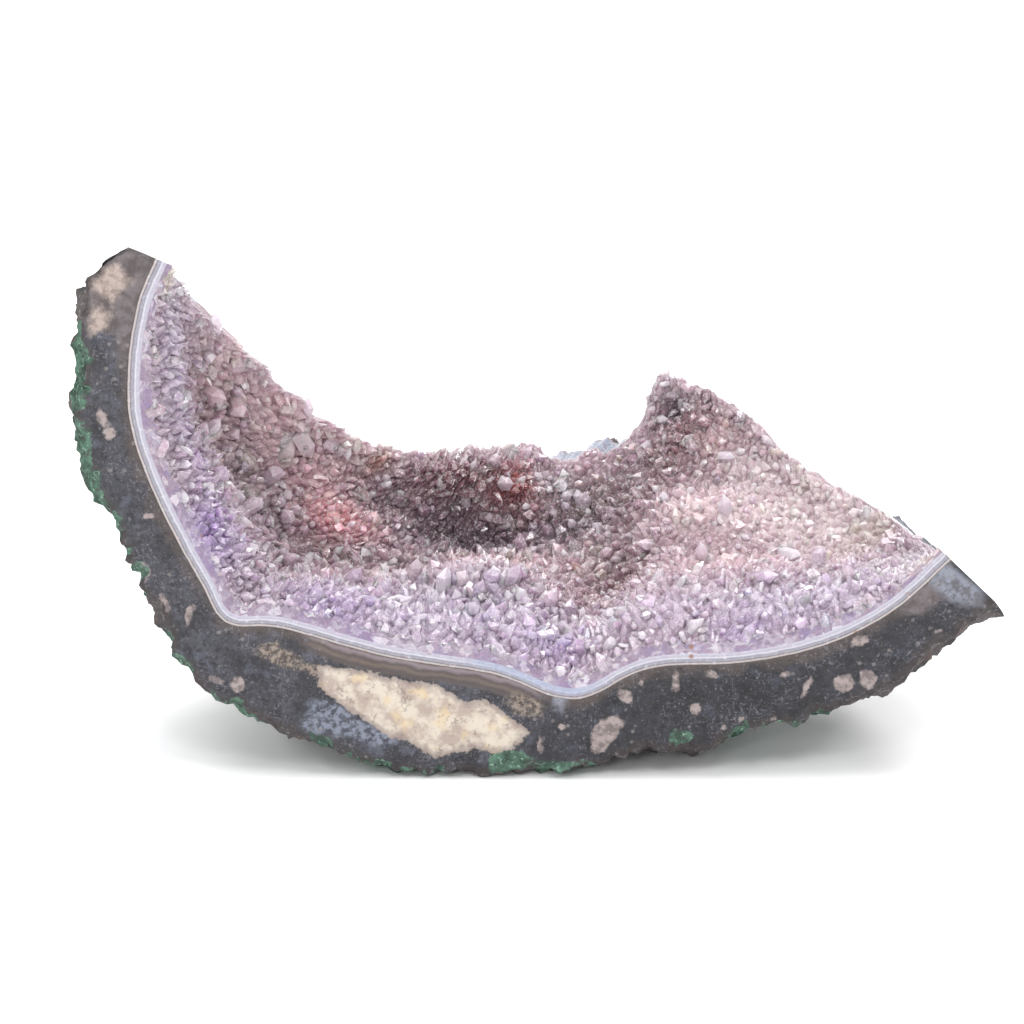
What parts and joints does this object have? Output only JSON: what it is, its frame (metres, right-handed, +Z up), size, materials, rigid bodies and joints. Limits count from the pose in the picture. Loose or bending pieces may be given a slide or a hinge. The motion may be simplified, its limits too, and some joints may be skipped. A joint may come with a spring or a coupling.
{
  "type": "amethyst geode half",
  "caption": "Half of an amethyst geode with a sawn front: dark basalt rind, thin agate band and a hollow crusted with small pointed quartz crystals; rests on its rounded underside.",
  "frame": {"origin": "point under the middle of the part's box, on the surface that it rests on", "axes": "+Z up as it rests, +X to the right seen from the sawn face, which looks towards -Y"},
  "size_m": [0.1508, 0.0754, 0.0905],
  "materials": {
    "basalt": "matte",
    "agate": "satin",
    "amethyst": "gloss"
  },
  "bodies": {
    "root": {"basalt_rind": "basalt", "agate_band": "agate", "amethyst_crust": "amethyst"}
  },
  "joints": []
}
